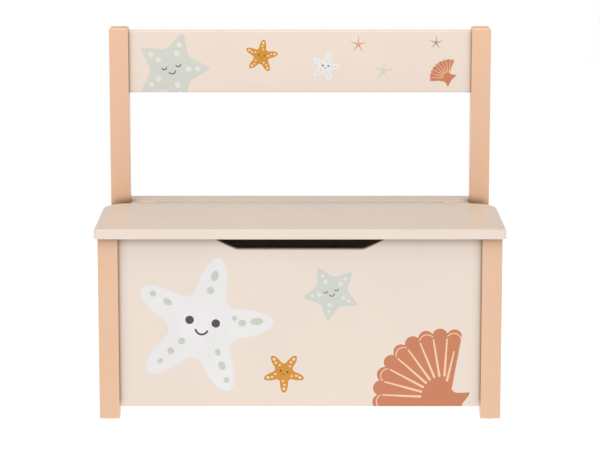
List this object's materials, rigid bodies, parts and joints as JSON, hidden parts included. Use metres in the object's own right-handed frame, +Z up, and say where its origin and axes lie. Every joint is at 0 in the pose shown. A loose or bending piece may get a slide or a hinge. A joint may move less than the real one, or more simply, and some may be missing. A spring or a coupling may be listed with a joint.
{
  "type": "toy box bench",
  "caption": "Child's storage bench: a painted wooden toy chest with a hand slot, a lift-up seat lid held open by a friction stay, and a low backrest between square uprights.",
  "frame": {"origin": "on the floor, under the middle of the whole bench", "axes": "+Z up, front faces -Y, +X to the right as seen from the front"},
  "size_m": [0.61, 0.292, 0.5665],
  "materials": {
    "peach_paint": "satin paint",
    "cream_paint": "satin paint, printed motifs",
    "bottom_board": "white faced hardboard",
    "bare_wood": "planed softwood",
    "dowel_wood": "beech",
    "screw_steel": "zinc plated",
    "cap_plastic": "matt",
    "glide_plastic": "matt",
    "buffer_rubber": "matt",
    "hinge_metal": "painted with the lid",
    "stay_metal": "zinc plated",
    "friction_pad": "nylon"
  },
  "bodies": {
    "chest": {"front_leg_left": "peach_paint", "front_leg_right": "peach_paint", "rear_upright_left": "peach_paint", "rear_upright_right": "peach_paint", "front_panel": "cream_paint", "back_panel": "cream_paint", "side_panel_left": "cream_paint", "side_panel_right": "cream_paint", "rear_seat_rail": "cream_paint", "backrest_board": "cream_paint", "bottom_panel": "bottom_board", "bottom_cleat_front": "bare_wood", "bottom_cleat_back": "bare_wood", "bottom_cleat_left": "bare_wood", "bottom_cleat_right": "bare_wood", "seat_rail_batten": "bare_wood", "frame_dowels": "dowel_wood", "rail_dowels": "dowel_wood", "backrest_dowels": "dowel_wood", "frame_screws": "screw_steel", "backrest_screws": "screw_steel", "cleat_screws": "screw_steel", "batten_screws": "screw_steel", "hinge_screws_fixed": "screw_steel", "stay_bracket_screws": "screw_steel", "screw_caps": "cap_plastic", "floor_glides": "glide_plastic", "lid_buffers": "buffer_rubber", "hinge_leaf_fixed_left": "hinge_metal", "hinge_leaf_fixed_right": "hinge_metal", "hinge_pin_left": "hinge_metal", "hinge_pin_right": "hinge_metal", "stay_bracket": "stay_metal", "stay_clamp_bolt": "stay_metal", "stay_spring_washer": "stay_metal", "stay_lock_nut": "stay_metal", "stay_spacer": "stay_metal", "stay_friction_washers": "friction_pad"},
    "lid": {"lid": "cream_paint", "hinge_leaf_lid_left": "hinge_metal", "hinge_leaf_lid_right": "hinge_metal", "hinge_screws_lid": "screw_steel", "stay_arm": "stay_metal", "stay_arm_screws": "screw_steel"}
  },
  "joints": [
    {"name": "lid_hinge", "type": "hinge", "parent": "chest", "child": "lid", "pos_m": [0, 0.0811, 0.292], "axis": [-1, 0, 0], "range_deg": [0, 85]}
  ]
}
